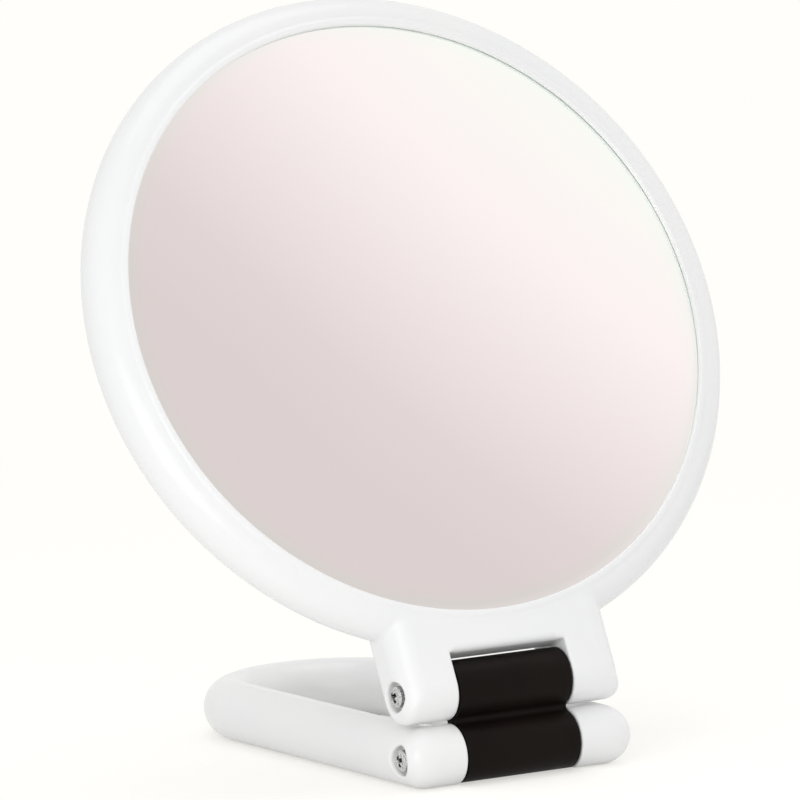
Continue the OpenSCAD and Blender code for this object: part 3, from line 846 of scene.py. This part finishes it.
# %% [markdown]
# ## Floor, backdrop and light
# The photograph was taken on white, with large soft lights and hardly any shadow.
# The floor is an ordinary pale surface for the light that falls on it and bounces back to the mirror.
# What the camera sees of it is lifted to a warm white with some emission, so that it keeps the soft shadow
# under the handle, and further out it fades into the backdrop, so no edge shows.
# The backdrop is the same warm white wherever the camera, a reflection or a clear part looks at it.
# Only the light that it gives is dimmer and cooler.
# The glass shows a room, and the obvious thing is to build one. But one soft panel in front of the mirror
# is enough: it runs from a rosy grey at its upper end to a bright white near the floor,
# and only reflections see it.

# %% The floor
LIFT = 0.56             # emission of the floor near the mirror
CREAM = rgb(1.0, 0.992, 0.957)

floor_finish = bpy.data.materials.new("white studio floor")
floor_finish.use_nodes = True
recipe = Recipe(floor_finish.node_tree)
camera_ray, glossy_ray, clear_ray = recipe.looked_at()
plain = recipe.node("ShaderNodeBsdfDiffuse", None, {"Color": rgb(0.91, 0.91, 0.9)})
lifted = recipe.node("ShaderNodeAddShader", None, {
    0: recipe.node("ShaderNodeBsdfDiffuse", None, {"Color": rgb(*(0.5 * level for level in CREAM[:3]))}),
    1: recipe.node("ShaderNodeEmission", None, {"Color": CREAM, "Strength": LIFT})})
from_mirror = recipe.vector("LENGTH", recipe.node("ShaderNodeTexCoord", output="Object"), output="Value")
faded = recipe.node("ShaderNodeMixShader", None, {
    0: recipe.spread(from_mirror, 0.15, 0.6), 1: lifted,
    2: recipe.node("ShaderNodeEmission", None, {"Color": CREAM, "Strength": 1.0})})
recipe.node("ShaderNodeOutputMaterial", None, {"Surface": recipe.node("ShaderNodeMixShader", None, {
    0: (camera_ray + glossy_ray + clear_ray).least(1.0), 1: plain, 2: faded})})

bm = bmesh.new()
bmesh.ops.create_grid(bm, x_segments=1, y_segments=1, size=6.0)
floor_mesh = bpy.data.meshes.new("studio_floor")
bm.to_mesh(floor_mesh)
bm.free()
floor_mesh.transform(Matrix.Translation((0, 0, -0.0001)))      # just clear of the flat under the handle
floor_mesh.materials.append(floor_finish)
floor = show("studio_floor", floor_mesh)
print("floor:", len(recipe.tree.nodes), "nodes")

# %% The backdrop
AMBIENT = 0.72          # strength of the light from all round
IN_THE_GLASS = (0.479, -0.637, 0.605)        # what the middle of the magnifying glass looks at
TOWARD_FLOOR = (-0.569, -0.7495, -0.338)     # along the panel, from its grey upper to its bright lower end
PANEL = [(0.06, rgb(0.735, 0.659, 0.648)),
         (0.25, rgb(0.778, 0.696, 0.686)),
         (0.73, rgb(1.0, 0.911, 0.909)),
         (1.0, rgb(1.0, 0.985, 0.94))]
PANEL_ENDS, PANEL_RIM = (-0.11, 0.15), (0.86, 0.93)      # cosines of the angles to the two directions

world = bpy.data.worlds.new("white studio")
bpy.context.scene.world = world
world.use_nodes = True
recipe = Recipe(world.node_tree)
camera_ray, glossy_ray, clear_ray = recipe.looked_at()
direction = recipe.node("ShaderNodeTexCoord", output="Generated")
along_panel = recipe.vector("DOT_PRODUCT", direction, TOWARD_FLOOR, output="Value")
panel = recipe.node("ShaderNodeValToRGB", {"stops": PANEL}, {0: recipe.spread(along_panel, *PANEL_ENDS)})
off_middle = recipe.vector("DOT_PRODUCT", direction, IN_THE_GLASS, output="Value")
faces_panel = recipe.spread(off_middle, *PANEL_RIM)
shown = recipe.mix(faces_panel * glossy_ray, CREAM, panel)
backdrop = recipe.node("ShaderNodeBackground", None, {"Color": shown, "Strength": 1.0})
soft = recipe.node("ShaderNodeBackground", None, {"Color": rgb(0.985, 0.99, 1.0), "Strength": AMBIENT})
recipe.node("ShaderNodeOutputWorld", None, {"Surface": recipe.node("ShaderNodeMixShader", None, {
    0: (camera_ray + glossy_ray + clear_ray).least(1.0), 1: soft, 2: backdrop})})
print("backdrop:", len(recipe.tree.nodes), "nodes")

# %% [markdown]
# ## Three soft boxes
# The white parts are brightest at their front left and only a little darker elsewhere, so the light is even.
# One lamp from there would leave the right side grey. So a key box stands low in front on the left,
# a wide box hangs overhead, and a weak one on the right fills what is left.

# %% The lamps
def soft_box(name, stands, looks_at, width, level):
    """A square lamp, where a level of 1 would light a white surface to white on its own."""
    stands, looks_at = Vector(stands), Vector(looks_at)
    lamp = bpy.data.lights.new(name, "AREA")
    lamp.size = width
    lamp.energy = level * (math.pi * (looks_at - stands).length) ** 2
    made = show(name, lamp)
    made.location = stands
    made.rotation_mode = "QUATERNION"
    made.rotation_quaternion = (looks_at - stands).to_track_quat("-Z", "Y")
    print(name, "with", round(lamp.energy, 2), "W")


soft_box("key box", (-0.37, -0.4, 0.18), (-0.02, 0, 0.06), 0.35, 0.27)
soft_box("top box", (0.1, 0.1, 1.3), (0, 0, 0.05), 0.9, 0.19)
soft_box("fill box", (0.8, -0.15, 0.35), (0, 0, 0.08), 0.8, 0.1)

# %% [markdown]
# ## The camera
# The photograph is taken from the front left, a little above the middle of the mirror, with a long lens
# from about one and a half metres. A camera placed by eye would leave the ring's ellipse slightly off.
# So the place, the tilt and the lens were found by fitting the frame, the glass and the handle.

# %% The camera
AZIMUTH, ELEVATION, ROLL = (math.radians(angle) for angle in (-28.3, 6.34, -2.816))
STANDS = (-0.667, -1.2488, 0.2333)

back = Vector((math.sin(AZIMUTH) * math.cos(ELEVATION), -math.cos(AZIMUTH) * math.cos(ELEVATION),
               math.sin(ELEVATION)))
level = Vector((math.cos(AZIMUTH), math.sin(AZIMUTH), 0))
upright = back.cross(level)
right = math.cos(ROLL) * level + math.sin(ROLL) * upright
up = math.cos(ROLL) * upright - math.sin(ROLL) * level
lens = bpy.data.cameras.new("long lens")
lens.sensor_width = 36.0
lens.lens = 294.53
camera = show("camera", lens)
camera.matrix_world = Matrix.Translation(STANDS) @ Matrix((right, up, back)).transposed().to_4x4()
bpy.context.scene.camera = camera
bpy.context.scene.view_settings.view_transform = "Standard"
print("camera", round(Vector(STANDS).length, 2), "m from the mirror, with a lens of", round(lens.lens), "mm")
